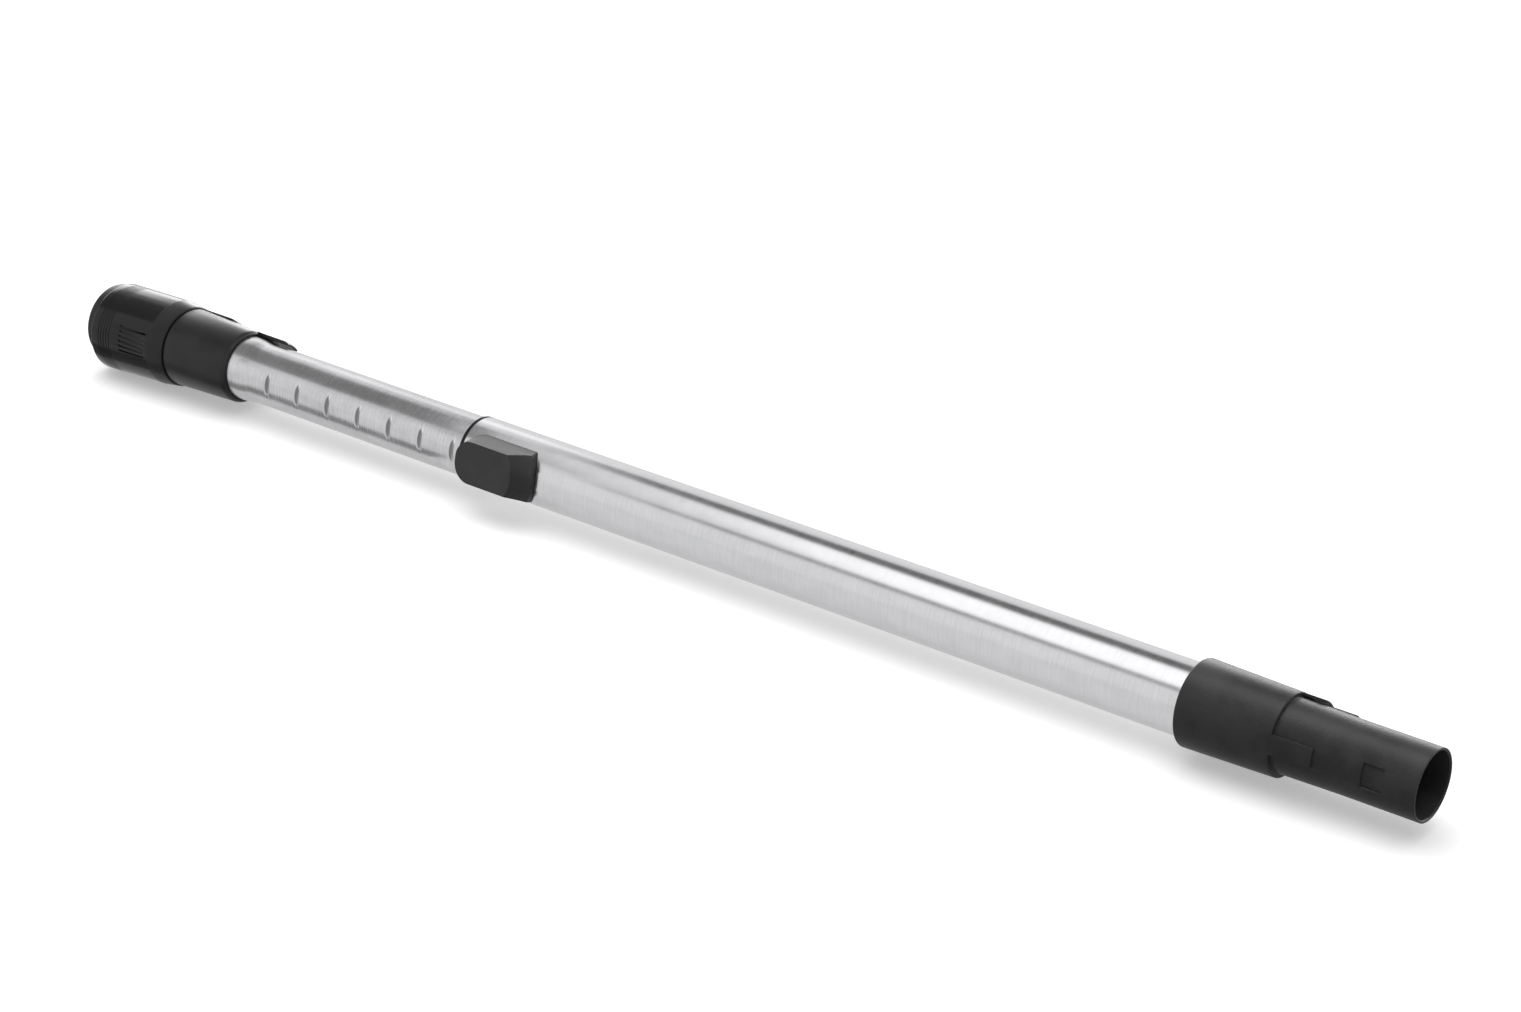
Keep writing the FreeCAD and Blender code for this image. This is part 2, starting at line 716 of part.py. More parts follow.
def make_mouth_ring():
    inner = "socket_radius + mouth_ring_entry"
    seat = "barrel_radius + fixed_gap"
    whole = "(mouth_ring_lip + mouth_ring_overlap)"
    body = turned("mouth_body", f"{BARREL_REAR} - mouth_ring_lip", [
        ("0", inner),
        ("mouth_ring_lip", inner),
        ("mouth_ring_lip", seat),
        (whole, seat),
        (whole, "mouth_ring_radius"),
        ("mouth_ring_edge", "mouth_ring_radius"),
        ("0", "mouth_ring_radius - mouth_ring_edge"),
    ], {5: "mouth_ring_edge"})
    finish(body, "mouth_ring")


def sleeve_void():
    land = "barrel_radius + free_gap"
    rear = f"({SEAT} - sleeve_rib_rear - {SLEEVE_REAR})"
    front = f"({SEAT} - sleeve_rib_front - {SLEEVE_REAR})"
    return turned("sleeve_void", SLEEVE_REAR, [
        ("0", "0"),
        ("sleeve_length", "0"),
        ("sleeve_length", land),
        ("sleeve_length - sleeve_land", land),
        ("sleeve_length - sleeve_land", "sleeve_cavity_radius"),
        (front, "sleeve_cavity_radius"),
        (front, land),
        (rear, land),
        (rear, "sleeve_cavity_radius"),
        ("0", "sleeve_cavity_radius"),
    ])


def grip_grooves():
    place = f"{SLEEVE_FRONT} - grip_setback - grip_length"
    grooves = []
    for number in range(round(value("grip_grooves"))):
        side = f"({number} - (grip_grooves - 1) / 2) * grip_pitch / sleeve_shoulder_radius * 180 / pi"
        grooves.append(bar(f"grip_groove_{number}", place, "grip_length", "grip_groove_width",
                           "sleeve_shoulder_radius - grip_depth", "sleeve_shoulder_radius", side))
    return grooves


def make_release_sleeve():
    form = doc.addObject("Part::Loft", "sleeve_form")
    form.Sections = [
        circle_across("sleeve_mouth", SLEEVE_REAR, "sleeve_rim_radius - sleeve_rim_edge",
                      "sleeve_flare", "sleeve_flare_side"),
        circle_across("sleeve_rim", f"{SLEEVE_REAR} + sleeve_rim_edge", "sleeve_rim_radius",
                      "sleeve_flare", "sleeve_flare_side"),
        circle_across("sleeve_shoulder", f"{SLEEVE_FRONT} - sleeve_cone_length", "sleeve_shoulder_radius"),
        circle_across("sleeve_front", SLEEVE_FRONT, "sleeve_front_radius"),
    ]
    form.Solid = True
    form.Ruled = True
    strip_rear = f"{SLEEVE_FRONT} - sleeve_land"
    reach = "(sleeve_land + strip_length)"
    under = "strip_radius - strip_thickness"
    strip_form = turned("strip_ring", strip_rear, [
        ("0", under),
        (reach, under),
        (reach, f"{under} + free_gap"),
        (f"{reach} - strip_slope", "strip_radius"),
        ("0", "strip_radius"),
    ])
    strip = shared("strip", strip_form, bar("strip_span", strip_rear, reach, "strip_width", "0",
                                            "2 * strip_radius", "-side_step"))
    lowest = f"(sleeve_rim_radius + sleeve_flare * cos((sleeve_flare_side - ({DOWN})) * 1deg))"
    flat = rest_flat("sleeve_flat", SLEEVE_REAR, "sleeve_length", lowest)
    hollow = cut("sleeve_hollow", form, [sleeve_void(), flat] + grip_grooves())
    finish(joined("sleeve_whole", [hollow, strip]), "release_sleeve")


def make_socket_pawl():
    block = bar("pawl_block", f"{PAWL_X} - pawl_length / 2", "pawl_length", "pawl_width",
                "socket_radius + pawl_inset", "pawl_height")
    finish(grouped("pawl", [block]), "socket_pawl")


def make_sleeve_spring():
    room = f"({SLEEVE_RIB} - {BARREL_REAR} - mouth_ring_overlap)"
    length = f"({room} - sleeve_travel - free_gap)"
    spring = coil("sleeve_coil", f"{SLEEVE_RIB} - fixed_gap - {length}", length, "sleeve_spring_radius",
                  "sleeve_spring_wire", "sleeve_spring_pitch")
    finish(spring, "sleeve_spring")


MAKERS = (
    make_outer_tube, make_spigot_end, make_spigot_seal, make_spigot_pins, make_guide_bush,
    make_wiper_ring, make_inner_tube, make_inner_end, make_latch_base, make_latch_rivets,
    make_latch_key, make_button_spring, make_release_button, make_socket_collar, make_collar_pins,
    make_socket_seal, make_mouth_ring, make_release_sleeve, make_socket_pawl, make_sleeve_spring,
)


def check_document():
    for item in doc.Objects:
        if {"Invalid", "Error"} & set(item.State):
            raise RuntimeError(f"{item.Name} failed: {item.State}")
    for item in SUBPARTS:
        if item.Shape.isNull() or not item.Shape.isValid():
            raise RuntimeError(f"{item.Label} has no valid shape")


for make in MAKERS:
    make()
doc.recompute()
check_document()

os.makedirs("parts", exist_ok=True)
for item in SUBPARTS:
    item.Shape.exportStep(f"parts/{item.Label}.step")
    box = item.Shape.BoundBox
    print(f"{item.Label}: {len(item.Shape.Solids)} solid, {item.Shape.Volume:.1f} mm3, "
          f"X {box.XMin:.2f} to {box.XMax:.2f}")
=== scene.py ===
from math import atan2, cos, exp, log, pi, radians, sin, sqrt, tan

import bmesh
import bpy
from mathutils import Matrix, Vector


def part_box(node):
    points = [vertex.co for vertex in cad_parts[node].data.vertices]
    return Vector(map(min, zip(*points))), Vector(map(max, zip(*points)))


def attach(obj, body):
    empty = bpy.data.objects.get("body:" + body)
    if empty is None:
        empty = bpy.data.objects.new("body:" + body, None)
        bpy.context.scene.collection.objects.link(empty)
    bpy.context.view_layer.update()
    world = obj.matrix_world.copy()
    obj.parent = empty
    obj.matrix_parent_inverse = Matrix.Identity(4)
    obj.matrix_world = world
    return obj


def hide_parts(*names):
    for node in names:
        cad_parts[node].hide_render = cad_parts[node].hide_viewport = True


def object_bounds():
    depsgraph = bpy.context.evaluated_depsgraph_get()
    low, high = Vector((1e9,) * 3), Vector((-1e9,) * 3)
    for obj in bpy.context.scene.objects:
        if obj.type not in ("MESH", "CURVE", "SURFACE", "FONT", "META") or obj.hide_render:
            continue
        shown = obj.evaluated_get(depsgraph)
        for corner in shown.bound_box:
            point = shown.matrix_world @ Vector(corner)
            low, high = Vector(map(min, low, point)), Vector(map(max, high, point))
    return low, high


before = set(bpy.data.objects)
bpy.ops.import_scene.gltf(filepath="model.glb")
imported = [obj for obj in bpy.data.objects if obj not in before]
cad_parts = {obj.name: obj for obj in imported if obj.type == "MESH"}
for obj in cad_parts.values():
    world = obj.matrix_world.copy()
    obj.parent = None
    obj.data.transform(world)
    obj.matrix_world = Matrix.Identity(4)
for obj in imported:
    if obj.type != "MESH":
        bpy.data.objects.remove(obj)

# The dressed telescopic wand. Sizes are in millimetres; its ends along X come from the frame.
# Pieces are shaped with the latch line up, and then turned to the angle at which the wand lies.

MM = 0.001
CAD_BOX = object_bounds()

LATCH_ANGLE = 12.0      # the latch line's height above the -Y horizon, in degrees
DOWN = 90.0 + LATCH_ANGLE
SIDE_STEP = 120.0       # from one tab to the next, in degrees
SPIN_STEPS = 144
FINE_STEPS = 192

OUTER_RADIUS, OUTER_BORE = 17.5, 17.05
INNER_RADIUS, INNER_BORE = 16.4, 15.95
WALL = 0.45
TAB_WIDTH = 9.4
REST_WIDTH = 20.9
SPIGOT_RADIUS, SPIGOT_BORE = 17.0, 15.6
SPIGOT_LENGTH = 38.0
SOCKET_RADIUS, SOCKET_DEPTH = 17.25, 42.8
BARREL_RADIUS = 19.0
SLEEVE_RADIUS, SHOULDER_RADIUS = 24.2, 23.7
SLEEVE_BORE, SLEEVE_GUIDE_BORE = 21.3, 19.3
GROOVE_COUNT, GROOVE_PITCH, GROOVE_WIDTH = 6, 2.7, 1.1
LINE_COUNT, LINE_PITCH, LINE_DEPTH = 5, 2.0, 0.3

BUTTON_LENGTH = 50.0
BUTTON_HALF_WIDTH = 13.2
BUTTON_SKIRT, BUTTON_FACE = 12.0, 24.2      # the heights between which its sides draft
BUTTON_DRAFT = 10.0                         # degrees
BUTTON_NOSE, BUTTON_HEEL = 12.0, 4.5        # corner radii at the rear and at the front
BUTTON_BULGE, BUTTON_BOW = 2.0, 20.0        # the bowed front: its reach and its radius
BUTTON_RADIUS, BUTTON_WAY = 27.6, 17.8      # round the wand's axis, outside and inside
RAMP_FOOT, RAMP_LENGTH, RAMP_CURVE = 19.9, 14.5, 26.0


def rear(node):
    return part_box(node)[0][0] / MM


def front(node):
    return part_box(node)[1][0] / MM


COLLAR_REAR = rear("spigot_end")
MOUTH = front("spigot_end")
TUBE_REAR = rear("outer_tube")
TUBE_FRONT = front("outer_tube")
INNER_REAR = rear("inner_tube")
INNER_FRONT = front("inner_tube")
BARREL_REAR = rear("socket_collar")
MOUTH_RING_REAR = rear("mouth_ring")
SLEEVE_REAR = rear("release_sleeve")
BUTTON_REAR = TUBE_REAR - 0.1
BUTTON_FRONT = BUTTON_REAR + BUTTON_LENGTH

SATIN_FRONT = INNER_REAR + 38.3
SATIN_REAR = SATIN_FRONT - 44.3
SLEEVE_FRONT = SATIN_REAR - 1.0
COLLAR_FRONT = COLLAR_REAR + 47.5
KEY_X = TUBE_REAR + 14.05
NOTCH_PITCH = 22.05
FIRST_NOTCH = SATIN_FRONT + 29.4
NOTCH_COUNT = 17


# Shaping

def lathe(profile, steps=SPIN_STEPS, turn=2 * pi):
    """A turned form from (x, radius, edge radius) corners. A form of less than a full turn
    gets closed ends."""
    shape = bmesh.new()
    verts = [shape.verts.new((x, 0, r)) for x, r, _ in profile]
    edges = [shape.edges.new((verts[i - 1], verts[i])) for i in range(len(verts))]
    for vert, (_, _, edge) in zip(verts, profile):
        if edge:
            bmesh.ops.bevel(shape, geom=[vert], offset=edge, offset_type="OFFSET",
                            affect="VERTICES", segments=4, profile=0.5, material=-1)
    whole = turn >= 2 * pi
    geom = shape.verts[:] + shape.edges[:]
    if not whole:
        bmesh.ops.rotate(shape, verts=shape.verts, cent=(0, 0, 0),
                         matrix=Matrix.Rotation(-turn / 2, 3, "X"))
        geom += bmesh.ops.contextual_create(shape, geom=shape.edges[:])["faces"]
    bmesh.ops.spin(shape, geom=geom, cent=(0, 0, 0), axis=(1, 0, 0), angle=turn,
                   steps=steps, use_merge=whole, use_duplicate=False)
    bmesh.ops.remove_doubles(shape, verts=shape.verts, dist=1e-5)
    bmesh.ops.recalc_face_normals(shape, faces=shape.faces)
    return shape


def sector(profile, width, side):
    """A part of a turned form, about width wide at its outer radius, at the direction side."""
    radius = max(r for _, r, _ in profile)
    shape = lathe(profile, steps=10, turn=width / radius)
    turn_about(shape, side)
    return shape


def block(x0, x1, width, low, high, side=0.0):
    """A box along X that stands from low to high at the direction side."""
    shape = bmesh.new()
    bmesh.ops.create_cube(shape, size=1.0)
    bmesh.ops.scale(shape, verts=shape.verts, vec=(x1 - x0, width, high - low))
    bmesh.ops.translate(shape, verts=shape.verts, vec=((x0 + x1) / 2, 0, (low + high) / 2))
    turn_about(shape, side)
    return shape


def prism(low, high):
    """A closed form between two outlines with as many corners."""
    shape = bmesh.new()
    rows = [[shape.verts.new(corner) for corner in outline] for outline in (low, high)]
    for i in range(len(low)):
        shape.faces.new((rows[0][i - 1], rows[0][i], rows[1][i], rows[1][i - 1]))
    shape.faces.new(rows[0][::-1])
    shape.faces.new(rows[1])
    bmesh.ops.recalc_face_normals(shape, faces=shape.faces)
    return shape


def turn_about(shape, side):
    bmesh.ops.rotate(shape, verts=shape.verts, cent=(0, 0, 0),
                     matrix=Matrix.Rotation(radians(side), 3, "X"))


def as_object(shape, name):
    """A latch-up form in millimetres as an object in the frame."""
    turn_about(shape, 90.0 - LATCH_ANGLE)
    bmesh.ops.scale(shape, verts=shape.verts, vec=(MM, MM, MM))
    return linked(shape, name)


def linked(shape, name):
    """The form as an object of the scene, as it stands."""
    mesh = bpy.data.meshes.new(name)
    shape.to_mesh(mesh)
    shape.free()
    piece = bpy.data.objects.new(name, mesh)
    bpy.context.scene.collection.objects.link(piece)
    return piece


def combined(piece, shape, operation):
    """Joins the piece with another form or cuts it by one, which doesn't stay in the scene."""
    tool = as_object(shape, piece.name + "_tool")
    change = piece.modifiers.new("combine", "BOOLEAN")
    change.operation = operation
    change.solver = "EXACT"
    change.object = tool
    settle(piece)
    bpy.data.objects.remove(tool)


def settle(piece):
    """Applies the piece's modifiers to its mesh."""
    evaluated = piece.evaluated_get(bpy.context.evaluated_depsgraph_get())
    mesh = bpy.data.meshes.new_from_object(evaluated)
    piece.modifiers.clear()
    piece.data = mesh


def finished(piece, body, nodes, material, edge=0.0):
    """Rounds the piece's sharp edges, shades it and hangs it on its body in place of its nodes."""
    if edge:
        rounding = piece.modifiers.new("edges", "BEVEL")
        rounding.width = edge * MM
        rounding.segments = 2
        rounding.limit_method = "ANGLE"
        rounding.angle_limit = radians(35)
        rounding.use_clamp_overlap = True
        settle(piece)
    piece.data.shade_smooth()
    piece.data.set_sharp_from_angle(angle=radians(38))
    piece.data.materials.clear()
    piece.data.materials.append(material)
    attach(piece, body)
    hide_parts(*nodes)


# Materials

class Value:
    """A socket that reads as a number in Python expressions."""

    def __init__(self, nodes, socket):
        self.nodes = nodes
        self.socket = socket

    def _math(self, operation, *values):
        return self.nodes.add("ShaderNodeMath", {"operation": operation}, *values)

    def __add__(self, other):
        return self._math("ADD", self, other)

    def __radd__(self, other):
        return self._math("ADD", other, self)

    def __sub__(self, other):
        return self._math("SUBTRACT", self, other)

    def __rsub__(self, other):
        return self._math("SUBTRACT", other, self)

    def __mul__(self, other):
        return self._math("MULTIPLY", self, other)

    def __truediv__(self, other):
        return self._math("DIVIDE", self, other)

    def smooth(self, low, high):
        """0 below low, 1 above high, and a soft step between."""
        return self.nodes.add("ShaderNodeMapRange", {"interpolation_type": "SMOOTHSTEP"},
                              self, low, high)


class Nodes:
    """One material's nodes, around a Principled shader."""

    def __init__(self, name, **constants):
        self.material = bpy.data.materials.new(name)
        self.material.use_nodes = True
        self.tree = self.material.node_tree
        self.shader = self.tree.nodes["Principled BSDF"]
        for socket, value in constants.items():
            self.shader.inputs[socket.replace("_", " ")].default_value = value

    def add(self, kind, settings, *values, output=0):
        """A node with its settings made first and then its inputs, in their order or by name."""
        node = self.tree.nodes.new(kind)
        for key, value in settings.items():
            setattr(node, key, value)
        named = values[-1] if values and isinstance(values[-1], dict) else {}
        plain = values[:-1] if named else values
        for key, value in list(enumerate(plain)) + list(named.items()):
            self.join(node.inputs[key], value)
        return Value(self, node.outputs[output])

    def join(self, socket, value):
        if isinstance(value, Value):
            self.tree.links.new(value.socket, socket)
        else:
            socket.default_value = value

    def place(self):
        """The surface point in its object's own frame, in metres."""
        return self.add("ShaderNodeTexCoord", {}, output=3)

    def along(self):
        """The place along the wand, in millimetres."""
        return self.add("ShaderNodeSeparateXYZ", {}, self.place()) / MM

    def noise(self, stretch, detail=2.0):
        """Noise with stretch waves per metre along X and across it."""
        scaled = self.add("ShaderNodeMapping", {}, self.place(), {"Scale": stretch})
        return self.add("ShaderNodeTexNoise", {}, scaled,
                        {"Scale": 1.0, "Detail": detail, "Roughness": 0.5})

    def mix(self, factor, first, second):
        return self.add("ShaderNodeMix", {"data_type": "RGBA"},
                        {0: factor, 6: first, 7: second}, output=2)

    def bump(self, height, strength, distance):
        return self.add("ShaderNodeBump", {},
                        {"Strength": strength, "Distance": distance, "Height": height})

    def set(self, **sockets):
        for name, value in sockets.items():
            self.join(self.shader.inputs[name.replace("_", " ")], value)
        return self.material


def grey(level, blue=1.02):
    """A grey, with the faint blue cast that the wand's steel and plastic have."""
    return (level, level, level * blue, 1.0)


def steel(name, light, dark, rough, grain, notched=False):
    """Tube steel, finely brushed round the tube, with faint cloudy patches."""
    nodes = Nodes(name, Metallic=1.0)
    strokes = nodes.noise((5200.0, 90.0, 90.0), detail=3.0)
    clouds = nodes.noise((70.0, 160.0, 160.0), detail=3.0)
    tone = (strokes * 0.65 + clouds * 0.35).smooth(0.32, 0.68)
    colour = nodes.mix(tone, grey(dark), grey(light))
    if notched:
        # painted shade on the notches' rear walls (grey 0.1) and a painted highlight on their
        # front walls (grey 0.97), mixed into the steel's colour
        rear_wall_shade, front_wall_highlight = notch_wall_shade_and_highlight(nodes)
        colour = nodes.mix(rear_wall_shade * 0.8, colour, grey(0.1))
        colour = nodes.mix(front_wall_highlight * 0.9, colour, grey(0.97))
    return nodes.set(
        Base_Color=colour,
        Roughness=rough + strokes * 0.12 + clouds * 0.05,
        Normal=nodes.bump(strokes, grain, 0.00005),
    )


def notch_wall_shade_and_highlight(nodes):
    """1 on the notches' rear walls and 1 on their front walls, where shade and a highlight are
    painted: painted shade makes the rear walls dark and a painted highlight makes the front walls
    bright."""
    pitches_back = 40.5     # keeps the modulo's input above 0 all along the tube
    along = nodes.along() - (FIRST_NOTCH - NOTCH_PITCH * pitches_back)
    across = nodes.add("ShaderNodeMath", {"operation": "MODULO"}, along, NOTCH_PITCH)
    across = across - NOTCH_PITCH / 2
    sideways = nodes.add("ShaderNodeVectorMath", {"operation": "MULTIPLY"}, nodes.place(),
                         (0.0, 1.0 / MM, 1.0 / MM))
    radius = nodes.add("ShaderNodeVectorMath", {"operation": "LENGTH"}, sideways, output=1)
    dent = (INNER_RADIUS - 0.02 - radius).smooth(0.08, 0.45)
    # the band of painted shade on each notch's rear wall, and below it the band of painted
    # highlight on its front wall
    dark = across.smooth(-2.2, -1.9) * (1.0 - across.smooth(0.0, 0.5))
    border = (INNER_RADIUS - radius).smooth(0.02, 0.12)
    bright = across.smooth(0.6, 1.0) * (1.0 - across.smooth(1.9, 2.2))
    return dent * dark, border * bright


def plastic(name, colour, rough, grain=0.25, pore=1800.0, shine=0.5):
    """Moulded plastic with a fine grain and a little unevenness."""
    nodes = Nodes(name, Specular_IOR_Level=shine)
    pores = nodes.noise((pore, pore, pore), detail=2.0)
    clouds = nodes.noise((60.0, 60.0, 60.0), detail=3.0)
    return nodes.set(
        Base_Color=nodes.mix(clouds.smooth(0.35, 0.65), grey(colour * 0.8), grey(colour * 1.2)),
        Roughness=rough + (clouds - 0.5) * 0.12 + (pores - 0.5) * 0.1,
        Normal=nodes.bump(pores, grain, 0.00008),
    )


def sleeve_plastic():
    """Polished black round the grip, satin on the cone and the strip."""
    nodes = Nodes("sleeve_black", Specular_IOR_Level=0.25)
    satin = nodes.along().smooth(SLEEVE_FRONT - 11.0, SLEEVE_FRONT - 9.6)
    pores = nodes.noise((1500.0, 1500.0, 1500.0))
    waves = nodes.noise((120.0, 120.0, 120.0), detail=1.0)
    return nodes.set(
        Base_Color=nodes.mix(satin, grey(0.006), grey(0.009)),
        Roughness=0.17 + satin * 0.2 + (waves - 0.5) * 0.06,
        Normal=nodes.bump(pores * (0.12 + satin * 0.88), 0.2, 0.00005),
    )


OUTER_STEEL = steel("outer_steel", 0.68, 0.6, 0.15, 0.2)
INNER_STEEL = steel("inner_steel", 0.66, 0.5, 0.17, 0.3, notched=True)
GRAINED = plastic("grained_black", 0.019, 0.44, grain=0.8, pore=1100.0, shine=0.13)
SATIN = plastic("satin_black", 0.009, 0.36, grain=0.3, shine=0.27)
BUTTON_BLACK = plastic("button_black", 0.015, 0.44, grain=0.35, pore=1600.0, shine=0.2)
BUSH_BLACK = plastic("bush_black", 0.006, 0.5, shine=0.2)
RUBBER = plastic("seal_rubber", 0.02, 0.7, grain=0.4, pore=900.0)
SLEEVE_BLACK = sleeve_plastic()
PIN_STEEL = steel("pin_steel", 0.6, 0.5, 0.3, 0.2)
SPRING_STEEL = steel("spring_steel", 0.5, 0.38, 0.32, 0.2)

NODE_MATERIALS = {
    "outer_tube": OUTER_STEEL, "inner_tube": INNER_STEEL,
    "spigot_end": GRAINED, "spigot_seal": RUBBER, "spigot_pins": PIN_STEEL,
    "guide_bush": BUSH_BLACK, "wiper_ring": RUBBER, "inner_end_guide": BUSH_BLACK,
    "inner_end_seal": RUBBER,
    "latch_base": BUSH_BLACK, "latch_rivets": PIN_STEEL, "latch_key": PIN_STEEL,
    "button_spring": SPRING_STEEL, "release_button": BUTTON_BLACK, "socket_collar": SATIN,
    "collar_pins": PIN_STEEL, "socket_seal": RUBBER, "mouth_ring": SATIN,
    "release_sleeve": SLEEVE_BLACK, "socket_pawl": PIN_STEEL, "sleeve_spring": SPRING_STEEL,
}
for node, material in NODE_MATERIALS.items():
    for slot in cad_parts[node].material_slots:
        slot.material = material


# Outer tube: a thin wall with slightly rounded ends and the key's window

def make_outer_tube():
    tube = as_object(lathe([
        (TUBE_REAR, OUTER_BORE, 0.1), (TUBE_FRONT, OUTER_BORE, 0.1),
        (TUBE_FRONT, OUTER_RADIUS, 0.15), (TUBE_REAR, OUTER_RADIUS, 0.15),
    ]), "tube_outside")
    combined(tube, block(KEY_X - 3.1, KEY_X + 3.1, 9.2, 10.0, 24.0), "DIFFERENCE")
    finished(tube, "outer", ["outer_tube"], OUTER_STEEL)


# Inner tube: notches are pressed into a wall that has fine rings where they lie

def pressed(shape, x0):
    """Presses one notch: a dent by a round bar across the wand, with a soft border."""
    radius, depth, soft = 1.6, 1.0, 0.35
    height = INNER_RADIUS + radius - depth
    for vert in shape.verts:
        dx = vert.co.x - x0
        if abs(dx) > radius + 1.0 or vert.co.z < 0:
            continue
        wall = sqrt(vert.co.y ** 2 + vert.co.z ** 2)
        own = INNER_RADIUS if wall > INNER_RADIUS - 0.2 else INNER_RADIUS - WALL
        skin = sqrt(max(own ** 2 - vert.co.y ** 2, 0.0))
        floor = height - sqrt(max(radius ** 2 - dx ** 2, 0.0)) - (INNER_RADIUS - own)
        if abs(dx) >= radius:
            floor = height + (abs(dx) - radius) * 3
        vert.co.z -= soft * positive_part((skin - floor) / soft)


def positive_part(gap):
    """0 far below 0, gap far above it, and a soft bend between."""
    if gap < -6:
        return 0.0
    return gap if gap > 20 else log(1 + exp(gap))


def make_inner_tube():
    notches = [FIRST_NOTCH + number * NOTCH_PITCH for number in range(NOTCH_COUNT)]
    rings = [centre + step * 0.25 for centre in notches for step in range(-10, 11)]
    neck_end = INNER_REAR + 42.0
    taper = 12.0
    profile = [
        (INNER_REAR, 16.95, 0.0), (neck_end, 16.95, 0.0), (neck_end + taper, INNER_BORE, 0.0),
    ]
    profile += [(x, INNER_BORE, 0.0) for x in rings]
    profile += [(INNER_FRONT, INNER_BORE, 0.0), (INNER_FRONT, INNER_RADIUS, 0.0)]
    profile += [(x, INNER_RADIUS, 0.0) for x in rings[::-1]]
    profile += [(neck_end + taper - step, neck_radius(step / taper), 0.0)
                for step in range(0, 13, 2)]
    profile += [(INNER_REAR, 17.4, 0.0)]
    shape = lathe(profile)
    for centre in notches:
        pressed(shape, centre)
    tube = as_object(shape, "tube_inside")
    finished(tube, "inner", ["inner_tube"], INNER_STEEL)


def neck_radius(share):
    """The swaged neck's radius: at share 1 it's 1 mm more than at share 0, with soft ends."""
    return INNER_RADIUS + (share * share * (3 - 2 * share))


# Spigot end

def rest_flat(piece, x0, x1, lowest):
    """A shallow flat under a round piece, on which the wand rests."""
    combined(piece, block(x0 - 1.0, x1 + 1.0, REST_WIDTH, lowest, lowest + 2.0, DOWN),
             "DIFFERENCE")


def make_spigot_end():
    seat = COLLAR_REAR + 36.5       # where the outer tube's end stands
    body = as_object(lathe([
        (COLLAR_REAR, 17.55, 0.3), (seat, 17.55, 0.0), (seat, SPIGOT_BORE, 0.0),
        (MOUTH - 0.6, SPIGOT_BORE, 0.2), (MOUTH, 16.2, 0.2), (MOUTH, SPIGOT_RADIUS, 0.3),
        (MOUTH - SPIGOT_LENGTH, SPIGOT_RADIUS, 0.0), (COLLAR_FRONT, 17.5, 0.4),
        (COLLAR_FRONT, 19.8, 0.6), (COLLAR_REAR, 20.9, 1.2),
    ]), "spigot_moulding")
    root = COLLAR_FRONT - 2.0
    wide_end, small_end = COLLAR_FRONT + 20.0, COLLAR_FRONT + 11.5
    combined(body, sector([
        (root, 16.2, 0.0), (wide_end, 16.2, 0.0), (wide_end, 19.0, 0.0),
        (COLLAR_FRONT, 19.6, 0.0), (root, 19.6, 0.0),
    ], TAB_WIDTH, 0.0), "UNION")
    for side in (-SIDE_STEP, SIDE_STEP):
        combined(body, sector([
            (root, 18.3, 0.0), (small_end, 18.3, 0.5), (small_end, 19.6, 0.5), (root, 19.6, 0.0),
        ], TAB_WIDTH, side), "UNION")
        rail = COLLAR_FRONT + 12.7
        combined(body, block(rail, rail + 13.0, 2.5, 16.2, 17.75, side), "UNION")
    low, high, outside = MOUTH - 26.0, MOUTH - 15.8, 20.0
    recess_width = 11.6     # on the spigot's skin
    combined(body, sector([
        (low, 15.95, 0.0), (high, 16.35, 0.0), (high, outside, 0.0), (low, outside, 0.0),
    ], recess_width * outside / SPIGOT_RADIUS, 0.0), "DIFFERENCE")
    rest_flat(body, COLLAR_REAR, COLLAR_FRONT, 20.5)
    finished(body, "outer", ["spigot_end"], GRAINED, edge=0.25)


# Release button

def make_release_button():
    """A drafted block with a round nose, a concave ramp at the front and a way for the tube."""
    outlines = [button_plan(height) for height in (BUTTON_SKIRT, BUTTON_FACE)]
    button = as_object(prism(*outlines), "button_moulding")
    ramp = ramp_profile(BUTTON_FRONT, RAMP_FOOT, BUTTON_FRONT - RAMP_LENGTH, BUTTON_RADIUS,
                        RAMP_CURVE)
    combined(button, lathe([
        (BUTTON_REAR - 1.0, 5.0, 0.0), (BUTTON_FRONT, 5.0, 0.0), *ramp,
        (BUTTON_REAR - 1.0, BUTTON_RADIUS, 0.0),
    ], FINE_STEPS), "INTERSECT")
    combined(button, lathe([
        (BUTTON_REAR - 5.0, 4.0, 0.0), (BUTTON_FRONT + 5.0, 4.0, 0.0),
        (BUTTON_FRONT + 5.0, BUTTON_WAY, 0.0), (BUTTON_REAR - 5.0, BUTTON_WAY, 0.0),
    ], FINE_STEPS), "DIFFERENCE")
    combined(button, bowed_front(), "INTERSECT")
    combined(button, block(BUTTON_REAR + 7.9, BUTTON_FRONT - 16.6, 16.0, 0.0, 22.0), "DIFFERENCE")
    finished(button, "button", ["release_button"], BUTTON_BLACK, edge=0.9)


def button_plan(height):
    """The button's outline at a height, with its draft, round nose and tighter heel."""
    inset = (height - BUTTON_SKIRT) * tan(radians(BUTTON_DRAFT))
    x0, x1 = BUTTON_REAR + inset, BUTTON_FRONT + BUTTON_BULGE - inset
    half = BUTTON_HALF_WIDTH - inset
    corners = []
    for x, y, radius, first in ((x0, -half, BUTTON_NOSE, 180), (x1, -half, BUTTON_HEEL, 270),
                                (x1, half, BUTTON_HEEL, 0), (x0, half, BUTTON_NOSE, 90)):
        radius -= inset
        cx = x + radius if x == x0 else x - radius
        cy = y + radius if y < 0 else y - radius
        for step in range(15):
            angle = radians(first + step * 90 / 14)
            corners.append((cx + radius * cos(angle), cy + radius * sin(angle), height))
    return corners


